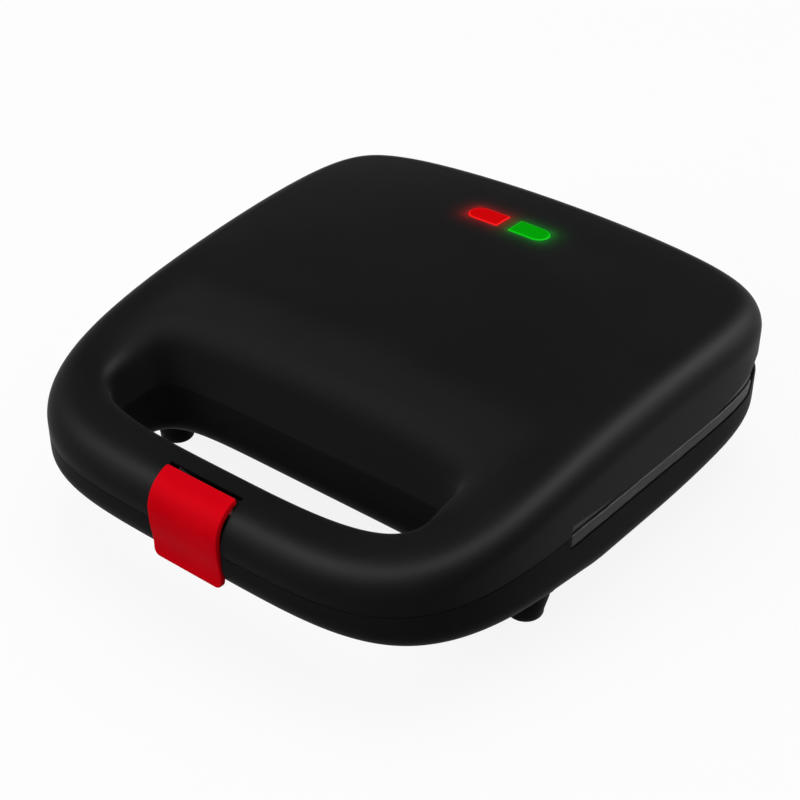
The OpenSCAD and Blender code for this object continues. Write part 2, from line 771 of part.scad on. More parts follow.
// Pan with a turned-up rim, holes for the bosses and beads that hold the heating tube
bead_d = 6;
module reflector(is_lid) {
    from_parting(is_lid) translate([0, plate_y, 0]) {
        difference() {
            translate([0, 0, reflector_h - reflector_rim + reflector_t])
                rounded_plate(reflector_w, reflector_d, 10, reflector_rim);
            translate([0, 0, reflector_h - reflector_rim])
                rounded_plate(reflector_w - 2 * reflector_t, reflector_d - 2 * reflector_t,
                    10 - reflector_t, reflector_rim);
            for (p = screw_places) translate([p[0], p[1] - plate_y, 0])
                cylinder(h = far, d = boss_d + 2 * fit);
        }
        for (sx = [-1, 1], sy = [-1, 1])
            translate([sx * heater_w / 4, sy * heater_l / 2, heater_h + heater_d / 2])
                cylinder(h = reflector_h - heater_h - heater_d / 2, d = bead_d);
    }
}
module lower_reflector() color("#b5b7b8") reflector(false);
module upper_reflector() color("#b5b7b8") reflector(true);

// ---------- small parts ----------
module hinge_pins() color("silver") {
    half_l = lid_ear_w / 2 + ear_play + base_ear_w;
    both_sides() x_cylinder(hinge_x - half_l, hinge_x + half_l, hinge_y, parting_z,
        hinge_pin_d / 2);
}

block_l = 30;
block_w = 9;
block_h = 12;
block_x = 24;
block_play = 0.2;
block_y = plate_rear_y - reflector_end + block_play + block_w / 2;
block_z = base_z + wall + 3.3;

// Pedestal on the base's floor that carries the terminal block
module block_stand() {
    block([block_x - block_l / 2 + 1, block_y - 4, base_z + wall - 0.6],
        [block_x + block_l / 2 - 1, block_y + 4, block_z]);
}

module terminal_block() color("#e4dfd2")
    translate([block_x, block_y, block_z]) difference() {
        translate([-block_l / 2, -block_w / 2, 0]) cube([block_l, block_w, block_h]);
        for (i = [-1, 0, 1]) translate([i * 9, 0, 0]) {
            translate([0, -block_w, block_h * 0.45]) rotate([-90, 0, 0])
                cylinder(h = 2 * block_w, d = 3);
            translate([0, 0, block_h * 0.45]) cylinder(h = block_h, d = 3.6);
        }
    }

bush_flange_d = bush_d + 5;
module cord_bush() color("#121212")
    translate([0, rear_y, cord_z]) rotate([-90, 0, 0]) rotate_extrude() difference() {
        polygon([[0, -wall - 3.5], [bush_d / 2 + 1.2, -wall - 3.5], [bush_d / 2 + 1.2, -wall - 0.1],
            [bush_d / 2 - 0.1, -wall - 0.1], [bush_d / 2 - 0.1, 0.3], [bush_flange_d / 2, 0.3],
            [bush_flange_d / 2 - 0.6, 2.2], [bush_d / 2, 3.4], [0, 3.4]]);
        translate([-1, -far / 2]) square([cord_bore_d / 2 + 1, far]);
    }

// ---------- lid ----------
lens_top_z = lid_face([0, lens_y]);
lens_shift = lens_gap / 2;
lens_stem_z = lens_top_z - wall - 3.4;
lens_flange = 1.2;
holder_top_z = lens_stem_z;
holder_screw_x = lens_l + lens_shift + 9;
holder_tab_t = 2;
holder_screw_l = 7;
holder_screw_head = 1.5;

// Lens outline: one straight end near the middle and one round end, s is its side
module lens_outline(s, grow = 0) {
    r = lens_w / 2 + grow;
    long = lens_l - lens_w / 2;
    mirror([s < 0 ? 1 : 0, 0]) translate([lens_shift, 0]) union() {
        translate([-grow, -r]) square([long + grow, 2 * r]);
        translate([long, 0]) circle(r);
    }
}

module lens(s) {
    translate([0, lens_y, 0]) {
        translate([0, 0, lens_stem_z]) linear_extrude(lens_top_z + 0.1 - lens_stem_z)
            lens_outline(s);
        translate([0, 0, lens_stem_z]) linear_extrude(1.8) lens_outline(s, lens_flange);
    }
}
module red_lens() color("#ff1414") lens(-1);
module green_lens() color("#10c020") lens(1);

lamp_r = 2.4;
lamp_l = 12;
lamp_z = holder_top_z - 4.2;
module lamp(s) {
    translate([s * (lens_shift + lens_l / 2), lens_y, 0]) {
        x_cylinder(-lamp_l / 2, lamp_l / 2, 0, lamp_z, lamp_r);
        for (e = [-1, 1]) x_cylinder(-0.4 + e * (lamp_l / 2 + 0.4), 0.4 + e * (lamp_l / 2 + 0.4),
            0, lamp_z, lamp_r * 0.6);
    }
}
module red_lamp() color("#ff5040") lamp(-1);
module green_lamp() color("#70e080") lamp(1);

module lamp_holder() color("#d8d4c8") translate([0, lens_y, 0]) difference() {
    half_l = lens_shift + lens_l + 2;
    union() {
        block([-half_l, -lens_w / 2 - 1.5, holder_top_z - 7], [half_l, lens_w / 2 + 1.5, holder_top_z]);
        block([-holder_screw_x - 4, -5, holder_top_z - holder_tab_t],
            [holder_screw_x + 4, 5, holder_top_z]);
    }
    for (s = [-1, 1]) {
        translate([s * (lens_shift + lens_l / 2), 0, 0])
            block([-lens_l / 2, -lamp_r, holder_top_z - 4.2 - lamp_r], [lens_l / 2, lamp_r, far]);
        translate([s * holder_screw_x, 0, 0]) cylinder(h = far, d = cover_screw_d);
    }
}

module lamp_holder_screws() color("silver")
    for (s = [-1, 1]) translate([s * holder_screw_x, lens_y, holder_top_z - holder_tab_t
        - holder_screw_head]) rotate_extrude() polygon([[0, 0], [cover_screw_d, 0],
            [cover_screw_d, holder_screw_head], [cover_screw_d / 2, holder_screw_head],
            [cover_screw_d / 2, holder_screw_l], [0, holder_screw_l]]);

module lamp_bosses() {
    for (s = [-1, 1]) let (face = lid_face([holder_screw_x, lens_y]))
        translate([s * holder_screw_x, lens_y, holder_top_z])
            cylinder(h = face - wall / 2 - holder_top_z, d = cover_boss_d);
}

module lamp_boss_bores() {
    for (s = [-1, 1]) translate([s * holder_screw_x, lens_y, holder_top_z - 1])
        cylinder(h = holder_screw_l - holder_tab_t - holder_screw_head + 1, d = cover_screw_d);
}

module lid_shell() color("#1a1a1b") union() {
    difference() {
        union() {
            half_shell(true);
            latch_core(true);
            hinge_backing(true);
            plate_bosses(true);
            cover_bosses(true);
            lamp_bosses();
        }
        side_notches(true);
        hinge_room();
        latch_pocket(true);
        plate_boss_bores(true);
        cover_boss_bores(true);
        lamp_boss_bores();
        for (s = [-1, 1]) translate([0, lens_y, lens_stem_z]) linear_extrude(far)
            lens_outline(s, fit);
    }
    lid_ears();
}

module lid_handle_cover() color("#1c1c1d") handle_cover(true);
module lid_handle_screws() color("silver") handle_screws(true);

// Disc thermostat on the back of the upper plate, between four rings
module thermostat() color("#c9b48a")
    translate([land_x, plate_y + land_y, parting_z + back_h]) {
        cylinder(h = 3.5, r = 8.4);
        translate([0, 0, 3.5]) cylinder(h = 5, r = 6.8);
        for (s = [-1, 1]) translate([s * 4, 0, 8.5]) translate([-0.4, -2.4, 0]) cube([0.8, 4.8, 3]);
    }

// Fuse in its glass-fibre sleeve
module thermal_fuse() color("#efe9dc") {
    fuse_r = 2.2;
    translate([land_x - ring_pitch, plate_y + land_y, parting_z + back_h + fuse_r]) rotate([90, 0, 0]) {
        translate([0, 0, -6]) cylinder(h = 12, r = fuse_r);
        translate([0, 0, -10]) cylinder(h = 20, r = 0.5);
    }
}

base_shell();
base_handle_cover();
base_handle_screws();
lower_plate();
lower_plate_screws();
lower_heater();
lower_reflector();
foot_pads();
hinge_pins();
terminal_block();
cord_bush();
lid_shell();
lid_handle_cover();
lid_handle_screws();
upper_plate();
upper_plate_screws();
upper_heater();
upper_reflector();
red_lens();
green_lens();
red_lamp();
green_lamp();
lamp_holder();
lamp_holder_screws();
thermostat();
thermal_fuse();
latch_pin();
latch();
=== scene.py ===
import bpy
import bmesh
import math
import numpy as np
from mathutils import Matrix, Vector


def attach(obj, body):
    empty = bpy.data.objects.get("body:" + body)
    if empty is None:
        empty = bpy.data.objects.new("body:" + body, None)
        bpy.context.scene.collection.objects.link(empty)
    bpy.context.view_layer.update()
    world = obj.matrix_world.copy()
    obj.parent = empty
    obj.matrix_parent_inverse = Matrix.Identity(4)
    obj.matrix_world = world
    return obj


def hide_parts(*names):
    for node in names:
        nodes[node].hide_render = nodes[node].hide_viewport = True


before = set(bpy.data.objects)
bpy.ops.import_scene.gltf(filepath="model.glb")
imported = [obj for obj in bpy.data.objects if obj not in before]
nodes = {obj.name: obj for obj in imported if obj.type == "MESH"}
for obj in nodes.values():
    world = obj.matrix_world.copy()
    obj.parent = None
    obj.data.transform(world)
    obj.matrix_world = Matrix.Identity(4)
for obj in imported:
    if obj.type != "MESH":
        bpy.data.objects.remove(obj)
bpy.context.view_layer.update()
scene = bpy.context.scene
MM = 0.001

# ---------------------------------------------------------------- camera
# The photograph's angle: azimuth 38 degrees to the right of the handle, 35 degrees above.
FOCAL_PIXELS, FRAME_PIXELS, SENSOR = 1672.97, 800, 36
CAMERA_PLACE, CAMERA_SHIFT = (0.35763, -0.45703, 0.44485), (0.00785, -0.01349)
right = Vector((0.7859, 0.6183, 0.0))
up = Vector((-0.3516, 0.4469, 0.8226))
back = Vector((0.5086, -0.6465, 0.5687))
cam_data = bpy.data.cameras.new("camera")
cam = bpy.data.objects.new("camera", cam_data)
scene.collection.objects.link(cam)
cam.matrix_world = Matrix.Translation(CAMERA_PLACE) @ Matrix(
    (right, up, back)).transposed().to_4x4()
cam_data.sensor_width = SENSOR
cam_data.lens = FOCAL_PIXELS / FRAME_PIXELS * SENSOR
cam_data.shift_x, cam_data.shift_y = CAMERA_SHIFT
cam_data.clip_end = 20
scene.camera = cam
scene.view_settings.view_transform = "Standard"

# ---------------------------------------------------------------- the shells' form, in mm
W, D, FLARE = 230.0, 250.8, 5.8
MID, WALL, PARTING, SEAM, INNER_SEAM = -2.45, 2.5, 46.4, 0.4, 0.12
FRONT, REAR = MID - D / 2, MID + D / 2
FRONT_N, REAR_N = 4.4, 6.7
OPEN_W, OPEN_D, GRIP = 156.8, 45.7, 25.9
OPEN_Y = FRONT + GRIP + OPEN_D / 2
OPEN_FRONT_N, OPEN_REAR_N = 3.4, 7.0
OPEN_SWEEP, SPREAD = 30, 0.62
LID_FRONT_Z, LID_MIDDLE_Z, LID_REAR_Z = 62.2, 79.4, 77.2
CROWN_H, CROWN_START, CROWN_END = 8.6, 0.08, 0.46
BASE_LOW_Z, BASE_RISE, BASE_RISE_L = 12.7, 15.6, 111
LID_EDGE_R, SIDE_GAIN, REAR_GAIN = 13.0, 2, 5
OPEN_EDGE_R, BROW_GAIN, HEEL_GAIN = 10, 3, 2.8
LID_CURL, BASE_CURL = (8.0, 0.5), (1.0, 0.06)
WALL_STEPS = (0.03, 0.06, 0.1, 0.17, 0.25, 0.33, 0.42, 0.5, 0.56, 0.75, 0.94)
HOLE_STEPS = (0.94, 0.65, 0.35, 0.06)


def ease(x, a, b):
    s = np.clip((x - a) / (b - a), 0, 1)
    return s * s * (3 - 2 * s)


def square_point(t, n):
    c, s = np.cos(t), np.sin(t)
    c = np.sign(c) * np.abs(c) ** SPREAD
    s = np.sign(s) * np.abs(s) ** SPREAD
    r = (np.abs(c) ** n + np.abs(s) ** n) ** (-1 / n)
    return np.stack([c * r, s * r], -1)


def square_normal(p, n, a, b):
    g = np.stack([np.sign(p[:, 0]) * np.abs(p[:, 0]) ** (n - 1) / a,
                  np.sign(p[:, 1]) * np.abs(p[:, 1]) ** (n - 1) / b], -1)
    return g / np.linalg.norm(g, axis=1, keepdims=True)


def outline(t, inset):
    n = np.where(np.sin(t) < -1e-9, FRONT_N, REAR_N)
    p = square_point(t, n)
    q = square_normal(p, n, W / 2, D / 2)
    xy = np.stack([(W / 2 + FLARE * p[:, 1]) * p[:, 0], MID + D / 2 * p[:, 1]], -1)
    return xy - np.reshape(inset * np.ones(len(t)), (-1, 1)) * q


def opening_angle(t):
    return t + math.radians(OPEN_SWEEP) * np.cos(t)


def opening(t, grow):
    turned = opening_angle(t)
    n = np.where(np.sin(turned) < -1e-9, OPEN_FRONT_N, OPEN_REAR_N)
    p = square_point(turned, n)
    q = square_normal(p, n, OPEN_W / 2, OPEN_D / 2)
    xy = np.stack([OPEN_W / 2 * p[:, 0], OPEN_Y + OPEN_D / 2 * p[:, 1]], -1)
    return xy + np.reshape(grow * np.ones(len(t)), (-1, 1)) * q


def depth_share(y):
    return (y - FRONT) / D


def lid_face(xy):
    """Height of the lid's top: a parabola through three heights, and a crown across it."""
    s = depth_share(xy[..., 1])
    return (LID_FRONT_Z * 2 * (s - 0.5) * (s - 1) + LID_MIDDLE_Z * 4 * s * (1 - s)
            + LID_REAR_Z * 2 * s * (s - 0.5)
            + CROWN_H * (1 - (2 * xy[..., 0] / W) ** 2) * ease(s, CROWN_START, CROWN_END))


def base_face(xy):
    """Height of the base's underside, which slopes up towards the handle."""
    return BASE_LOW_Z + BASE_RISE * (1 - np.minimum(1, (xy[..., 1] - FRONT) / BASE_RISE_L))


def outer_r(t, lid):
    """Radius of the outer edge, which grows towards the rear in the base."""
    if lid:
        return np.full(len(t), LID_EDGE_R)
    s = depth_share(outline(t, 0)[:, 1])
    return LID_EDGE_R + SIDE_GAIN * ease(s, 0.2, 0.42) + REAR_GAIN * ease(s, 0.6, 0.95)


def inner_r(t, lid):
    """Radius of the opening's edge, which grows towards the opening's rear."""
    turned = np.sin(opening_angle(t))
    if lid:
        return OPEN_EDGE_R + BROW_GAIN * ease(turned, -0.7, 0.9)
    return OPEN_EDGE_R + HEEL_GAIN * ease(turned, 0.35, 0.99)


def groove(t, v, lid):
    """Inward curl of a rim at the rear, most at the rim (v = 0) and gone at v = reach."""
    share = ease(depth_share(outline(t, 0)[:, 1]), 0.86, 0.97)
    depth, reach = LID_CURL if lid else BASE_CURL
    return depth * share * max(0.0, 1 - v / reach) ** 1.2


def ring(kind, v, t, w, lid):
    """One loop of the skin, in by depth w: a rim, wall, edge, face, inner, hole_wall or hole."""
    ro, ri = outer_r(t, lid), inner_r(t, lid)
    face = lid_face if lid else base_face
    flip = 1 if lid else -1
    if kind in ("rim", "wall", "hole", "hole_wall"):
        xy = outline(t, w + groove(t, v, lid)) if kind in ("rim", "wall") else opening(t, w)
        z0 = PARTING + flip * (SEAM if kind in ("rim", "wall") else INNER_SEAM) / 2
        r = ro if kind in ("rim", "wall") else ri
        z1 = face(xy) - flip * r
        z = z0 + (z1 - z0) * (v if kind in ("wall", "hole_wall") else 0)
    else:
        if kind == "edge":
            r = ro
            xy = outline(t, r - (r - w) * np.cos(v))
        elif kind == "inner":
            r = ri
            xy = opening(t, r - (r - w) * np.cos(v))
        else:
            r = np.full(len(t), w)
            xy = outline(t, ro) * (1 - v) + opening(t, ri) * v
            v = math.pi / 2
        z = face(xy) - flip * (r - (r - w) * np.sin(v))
    return np.concatenate([xy, z[:, None]], 1)


def stations(fine):
    """The loops of a skin, from the outer rim over the face to the opening's rim."""
    half = math.pi / 2
    if fine:
        a = [("rim", 0)] + [("wall", v) for v in WALL_STEPS]
        a += [("edge", half * i / 14) for i in range(15)]
        a += [("face", (i + 1) / 16) for i in range(15)]
        a += [("inner", half * (1 - i / 12)) for i in range(13)]
        return a + [("hole_wall", v) for v in HOLE_STEPS] + [("hole", 0)]
    a = [("rim", 0)] + [("edge", half * i / 4) for i in range(5)]
    a += [("face", 0.33), ("face", 0.67)] + [("inner", half * (1 - i / 4)) for i in range(5)]
    return a + [("hole", 0)]


POINTS = 320


def ring_mesh(name, loops, lid):
    n, m = len(loops), len(loops[0])
    k, i = np.meshgrid(np.arange(n), np.arange(m), indexing="ij")
    a, b = k * m + i, k * m + (i + 1) % m
    c, d = (k + 1) % n * m + (i + 1) % m, (k + 1) % n * m + i
    quads = np.stack([a, b, c, d] if not lid else [a, d, c, b], -1).reshape(-1, 4)
    me = bpy.data.meshes.new(name)
    me.from_pydata((np.concatenate(loops) * MM).tolist(), [], quads.tolist())
    ob = bpy.data.objects.new(name, me)
    scene.collection.objects.link(ob)
    return ob


def skin(name, lid):
    t = np.arange(POINTS) * 2 * math.pi / POINTS
    loops = [ring(k, v, t, 0, lid) for k, v in stations(True)]
    loops += [ring(k, v, t, WALL, lid) for k, v in reversed(stations(False))]
    return ring_mesh(name, loops, lid)


def solid(name, lid, inset):
    t = np.arange(POINTS) * 2 * math.pi / POINTS
    return ring_mesh(name, [ring(k, v, t, inset, lid) for k, v in stations(True)], lid)


# ---------------------------------------------------------------- mesh helpers
def new_object(name, bm):
    me = bpy.data.meshes.new(name)
    bmesh.ops.recalc_face_normals(bm, faces=bm.faces)
    bm.to_mesh(me)
    bm.free()
    ob = bpy.data.objects.new(name, me)
    scene.collection.objects.link(ob)
    return ob


def prism(bm, points, axis, low, high):
    """Prism of a 2D outline in mm: axis 'x' takes (y, z) points, axis 'z' takes (x, y)."""
    def at(p, h):
        return Vector((h, p[0], p[1]) if axis == "x" else (p[0], p[1], h)) * MM
    lower = [bm.verts.new(at(p, low)) for p in points]
    upper = [bm.verts.new(at(p, high)) for p in points]
    n = len(points)
    bm.faces.new(lower[::-1])
    bm.faces.new(upper)
    for i in range(n):
        bm.faces.new((lower[i], lower[(i + 1) % n], upper[(i + 1) % n], upper[i]))


def box(bm, low, high):
    prism(bm, [(low[0], low[1]), (high[0], low[1]), (high[0], high[1]), (low[0], high[1])],
          "z", low[2], high[2])


def circle(cx, cy, r, n=48, a0=0.0, a1=360.0):
    full = abs(a1 - a0) >= 360
    return [(cx + r * math.cos(math.radians(a0 + (a1 - a0) * i / (n if full else n - 1))),
             cy + r * math.sin(math.radians(a0 + (a1 - a0) * i / (n if full else n - 1))))
            for i in range(n)]


def boolean(ob, tool, operation):
    """Applies one boolean and removes its tool."""
    mod = ob.modifiers.new("boolean", "BOOLEAN")
    mod.operation = operation
    mod.object = tool
    mod.solver = "MANIFOLD"
    me = bpy.data.meshes.new_from_object(ob.evaluated_get(bpy.context.evaluated_depsgraph_get()))
    if len(me.polygons) < 10:
        print("boolean fallback", ob.name, tool.name)
        mod.solver = "EXACT"
        me = bpy.data.meshes.new_from_object(ob.evaluated_get(bpy.context.evaluated_depsgraph_get()))
    ob.modifiers.clear()
    old = ob.data
    ob.data = me
    bpy.data.meshes.remove(old)
    bpy.data.objects.remove(tool)
    return ob


def cut(ob, cutters, operation="DIFFERENCE"):
    """Applies one boolean after another; each cutter is a function that fills a bmesh."""
    for make in cutters:
        bm = bmesh.new()
        make(bm)
        boolean(ob, new_object("cutter", bm), operation)
    return ob


def unite(ob, *others):
    for other in others:
        boolean(ob, other, "UNION")
    return ob


def smooth(ob, angle=32):
    ob.data.shade_smooth()
    ob.data.set_sharp_from_angle(angle=math.radians(angle))
    return ob


# ---------------------------------------------------------------- materials
def material(name):
    mat = bpy.data.materials.new(name)
    mat.use_nodes = True
    nt = mat.node_tree
    nt.nodes.clear()
    out = nt.nodes.new("ShaderNodeOutputMaterial")
    bsdf = nt.nodes.new("ShaderNodeBsdfPrincipled")
    nt.links.new(bsdf.outputs[0], out.inputs[0])
    return mat, nt, bsdf


def math_node(nt, op, a, b=None, clamp=False):
    n = nt.nodes.new("ShaderNodeMath")
    n.operation = op
    n.use_clamp = clamp
    for i, v in enumerate((a, b)):
        if v is None:
            continue
        if isinstance(v, (int, float)):
            n.inputs[i].default_value = v
        else:
            nt.links.new(v, n.inputs[i])
    return n.outputs[0]


def map_range(nt, v, a, b, c, d, smooth_step=False):
    n = nt.nodes.new("ShaderNodeMapRange")
    n.interpolation_type = "SMOOTHSTEP" if smooth_step else "LINEAR"
    nt.links.new(v, n.inputs[0])
    for i, x in enumerate((a, b, c, d)):
        n.inputs[i + 1].default_value = x
    return n.outputs[0]


def noise(nt, scale, detail=3.0, rough=0.5, stretch=None):
    tc = nt.nodes.new("ShaderNodeTexCoord")
    n = nt.nodes.new("ShaderNodeTexNoise")
    n.inputs["Scale"].default_value = scale
    n.inputs["Detail"].default_value = detail
    n.inputs["Roughness"].default_value = rough
    if stretch:
        m = nt.nodes.new("ShaderNodeMapping")
        m.inputs["Scale"].default_value = stretch
        nt.links.new(tc.outputs["Object"], m.inputs[0])
        nt.links.new(m.outputs[0], n.inputs["Vector"])
    else:
        nt.links.new(tc.outputs["Object"], n.inputs["Vector"])
    return n.outputs[0]


def ramp(nt, v, stops):
    n = nt.nodes.new("ShaderNodeValToRGB")
    e = n.color_ramp.elements
    while len(e) < len(stops):
        e.new(0.5)
    for el, (pos, col) in zip(e, stops):
        el.position = pos
        el.color = (*col, 1)
    nt.links.new(v, n.inputs[0])
    return n.outputs[0]


def bump(nt, bsdf, height, strength, distance):
    n = nt.nodes.new("ShaderNodeBump")
    n.inputs["Strength"].default_value = strength
    n.inputs["Distance"].default_value = distance
    nt.links.new(height, n.inputs["Height"])
    nt.links.new(n.outputs[0], bsdf.inputs["Normal"])


def plastic(name, dark, light, rough, grain=0.12, scale=1400.0, *, specular):
    """Moulded plastic: faint mottling of colour and gloss, and a fine spark-eroded grain."""
    mat, nt, bsdf = material(name)
    cloud = noise(nt, 38.0, 4.0, 0.55)
    nt.links.new(ramp(nt, cloud, [(0.3, dark), (0.7, light)]), bsdf.inputs["Base Color"])
    nt.links.new(map_range(nt, cloud, 0.3, 0.7, rough - 0.02, rough + 0.02), bsdf.inputs["Roughness"])
    bsdf.inputs["Specular IOR Level"].default_value = specular
    bump(nt, bsdf, noise(nt, scale, 2.0, 0.5), grain, 0.00004)
    return mat, nt, bsdf


def metal(name, dark, light, rough, scale=60.0, stretch=None, grain=0.1):
    mat, nt, bsdf = material(name)
    cloud = noise(nt, scale, 5.0, 0.6, stretch)
    nt.links.new(ramp(nt, cloud, [(0.3, dark), (0.7, light)]), bsdf.inputs["Base Color"])
    nt.links.new(map_range(nt, cloud, 0.2, 0.8, rough - 0.06, rough + 0.08), bsdf.inputs["Roughness"])
    bsdf.inputs["Metallic"].default_value = 1.0
    bump(nt, bsdf, noise(nt, 900.0, 2.0), grain, 0.00003)
    return mat, nt, bsdf


LENS_Y, LENS_IN, LENS_OUT, LENS_HALF = REAR - 43.9, 2.9, 20.6, 5.5
# Colours of the painted glow that the lid's surface emits round the lenses.
PAINTED_RED_HALO, PAINTED_GREEN_HALO = (1.0, 0.004, 0.006), (0.0, 0.6, 0.03)
# The painted halo's corner radius, the length it falls off over and where it fades out, in metres.
HALO_CORNER, HALO_FALL, HALO_FADE, HALO_END = 0.003, 0.0023, 0.009, 0.015
HALO_STRENGTH, EULER = 0.2, 2.718
# Limits of the brow in y and in |x|, in metres, and how much rougher it is.
BROW_FRONT, BROW_REAR, BROW_SIDE = (-0.084, -0.070), (-0.042, -0.022), (0.080, 0.096)
BROW_ROUGH = 0.24


def painted_lens_halo(nt, bsdf):
    """Painted glow: the lid's own surface emits the lenses' colours round the two lenses, standing in
    for their light falling on the lid, and falling off with distance.
    """
    tc = nt.nodes.new("ShaderNodeTexCoord")
    sep = nt.nodes.new("ShaderNodeSeparateXYZ")
    nt.links.new(tc.outputs["Object"], sep.inputs[0])
    centre = (LENS_IN + LENS_OUT) / 2 * MM
    half = (LENS_OUT - LENS_IN) / 2 * MM
    colour = None
    for side, rgb in ((-1, PAINTED_RED_HALO), (1, PAINTED_GREEN_HALO)):
        dx = math_node(nt, "ABSOLUTE", math_node(nt, "SUBTRACT", sep.outputs[0], side * centre))
        dx = math_node(nt, "MAXIMUM", math_node(nt, "SUBTRACT", dx, half - HALO_CORNER), 0.0)
        dy = math_node(nt, "ABSOLUTE", math_node(nt, "SUBTRACT", sep.outputs[1], LENS_Y * MM))
        dy = math_node(nt, "MAXIMUM", math_node(nt, "SUBTRACT", dy, LENS_HALF * MM - HALO_CORNER), 0.0)
        d = math_node(nt, "SQRT", math_node(nt, "ADD", math_node(nt, "MULTIPLY", dx, dx),
                                            math_node(nt, "MULTIPLY", dy, dy)))
        d = math_node(nt, "MAXIMUM", math_node(nt, "SUBTRACT", d, HALO_CORNER), 0.0)
        fall = math_node(nt, "POWER", EULER, math_node(nt, "MULTIPLY", d, -1 / HALO_FALL))
        fall = math_node(nt, "MULTIPLY", fall, map_range(nt, d, HALO_FADE, HALO_END, 1, 0, True))
        mix = nt.nodes.new("ShaderNodeVectorMath")
        mix.operation = "SCALE"
        mix.inputs[0].default_value = rgb
        nt.links.new(fall, mix.inputs["Scale"])
        if colour is None:
            colour = mix.outputs[0]
        else:
            add = nt.nodes.new("ShaderNodeVectorMath")
            add.operation = "ADD"
            nt.links.new(colour, add.inputs[0])
            nt.links.new(mix.outputs[0], add.inputs[1])
            colour = add.outputs[0]
    # painted glow: the lid's own emission round the lenses
    nt.links.new(colour, bsdf.inputs["Emission Color"])
    bsdf.inputs["Emission Strength"].default_value = HALO_STRENGTH


def soften_brow(nt, bsdf):
    """Makes the brow round the opening duller by raising its roughness."""
    tc = nt.nodes.new("ShaderNodeTexCoord")
    sep = nt.nodes.new("ShaderNodeSeparateXYZ")
    nt.links.new(tc.outputs["Object"], sep.inputs[0])
    rise = map_range(nt, sep.outputs[1], *BROW_FRONT, 0, 1, True)
    drop = map_range(nt, sep.outputs[1], *BROW_REAR, 1, 0, True)
    sides = map_range(nt, math_node(nt, "ABSOLUTE", sep.outputs[0]), *BROW_SIDE, 1, 0, True)
    mask = math_node(nt, "MULTIPLY", math_node(nt, "MULTIPLY", rise, drop), sides)
    old = bsdf.inputs["Roughness"].links[0].from_socket
    nt.links.new(math_node(nt, "ADD", old, math_node(nt, "MULTIPLY", mask, BROW_ROUGH)),
                 bsdf.inputs["Roughness"])


BLACK_A, BLACK_B, BLACK_GLOSS = (0.0060, 0.0060, 0.0061), (0.0070, 0.0070, 0.0071), 0.016
housing, _, _ = plastic("housing_black", (0.0081, 0.0081, 0.0082), (0.0093, 0.0093, 0.0094), 0.43,
                        specular=0.005)
lid_black, lid_nt, lid_bsdf = plastic("lid_black", BLACK_A, BLACK_B, 0.43, specular=BLACK_GLOSS)
# paints a glow round the lenses into the lid's surface, as emission
painted_lens_halo(lid_nt, lid_bsdf)
soften_brow(lid_nt, lid_bsdf)
cover_black, _, _ = plastic("cover_black", (0.010, 0.010, 0.010), (0.013, 0.013, 0.013), 0.5,
                            specular=BLACK_GLOSS)
latch_red, _, _ = plastic("latch_red", (0.58, 0.0, 0.005), (0.64, 0.001, 0.007), 0.4, 0.08,
                          specular=0.01)
rubber, _, _ = plastic("foot_rubber", (0.009, 0.009, 0.009), (0.013, 0.013, 0.013), 0.7, 0.4, 700.0,
                       specular=0.03)
ceramic, _, _ = plastic("ceramic", (0.62, 0.58, 0.48), (0.70, 0.66, 0.57), 0.6, 0.3, 500.0,
                        specular=0.05)
steel, _, _ = metal("zinc_steel", (0.42, 0.42, 0.43), (0.6, 0.6, 0.6), 0.32)
heater_steel, _, _ = metal("heater_steel", (0.10, 0.09, 0.075), (0.22, 0.2, 0.17), 0.5, 90.0)
bright_sheet, _, _ = metal("reflector_sheet", (0.6, 0.61, 0.62), (0.72, 0.72, 0.73), 0.28, 40.0,
                           (1, 12, 1))
fuse_sleeve, _, _ = plastic("fuse_sleeve", (0.72, 0.68, 0.58), (0.8, 0.77, 0.7), 0.8, 0.6, 300.0,
                            specular=0.05)


def coated_plate(name):
    """Non-stick coating on cast aluminium: dark grey, fine speckle, slight orange peel."""
    mat, nt, bsdf = material(name)
    speck = noise(nt, 2200.0, 2.0, 0.6)
    cloud = noise(nt, 60.0, 4.0)
    both = math_node(nt, "ADD", math_node(nt, "MULTIPLY", speck, 0.6),
                     math_node(nt, "MULTIPLY", cloud, 0.4))
    nt.links.new(ramp(nt, both, [(0.35, (0.017, 0.017, 0.018)), (0.65, (0.036, 0.036, 0.037))]),
                 bsdf.inputs["Base Color"])
    nt.links.new(map_range(nt, cloud, 0.3, 0.7, 0.38, 0.46), bsdf.inputs["Roughness"])
    bsdf.inputs["Specular IOR Level"].default_value = 0.05
    bump(nt, bsdf, noise(nt, 420.0, 3.0), 0.25, 0.00006)
    return mat


plate_coat = coated_plate("plate_coat")


def lens_material(name, centre, rim):
    """Lit translucent cap: a brighter rim round a flatter middle, from the 'rim' attribute."""
    mat, nt, bsdf = material(name)
    at = nt.nodes.new("ShaderNodeAttribute")
    at.attribute_name = "rim"
    speck = noise(nt, 300.0, 2.0)
    v = math_node(nt, "ADD", at.outputs["Fac"], math_node(nt, "MULTIPLY", math_node(
        nt, "SUBTRACT", speck, 0.5), 0.15), True)
    col = ramp(nt, v, [(0.0, centre), (0.55, centre), (0.8, rim), (1.0, rim)])
    nt.links.new(col, bsdf.inputs["Emission Color"])
    bsdf.inputs["Emission Strength"].default_value = 1.0
    bsdf.inputs["Base Color"].default_value = (*[c * 0.3 for c in centre], 1)
    bsdf.inputs["Roughness"].default_value = 0.3
    bsdf.inputs["Specular IOR Level"].default_value = 0.01
    return mat


red_lit = lens_material("lens_red_lit", (0.46, 0.0, 0.001), (0.80, 0.012, 0.012))
green_lit = lens_material("lens_green_lit", (0.0, 0.26, 0.001), (0.004, 0.50, 0.008))


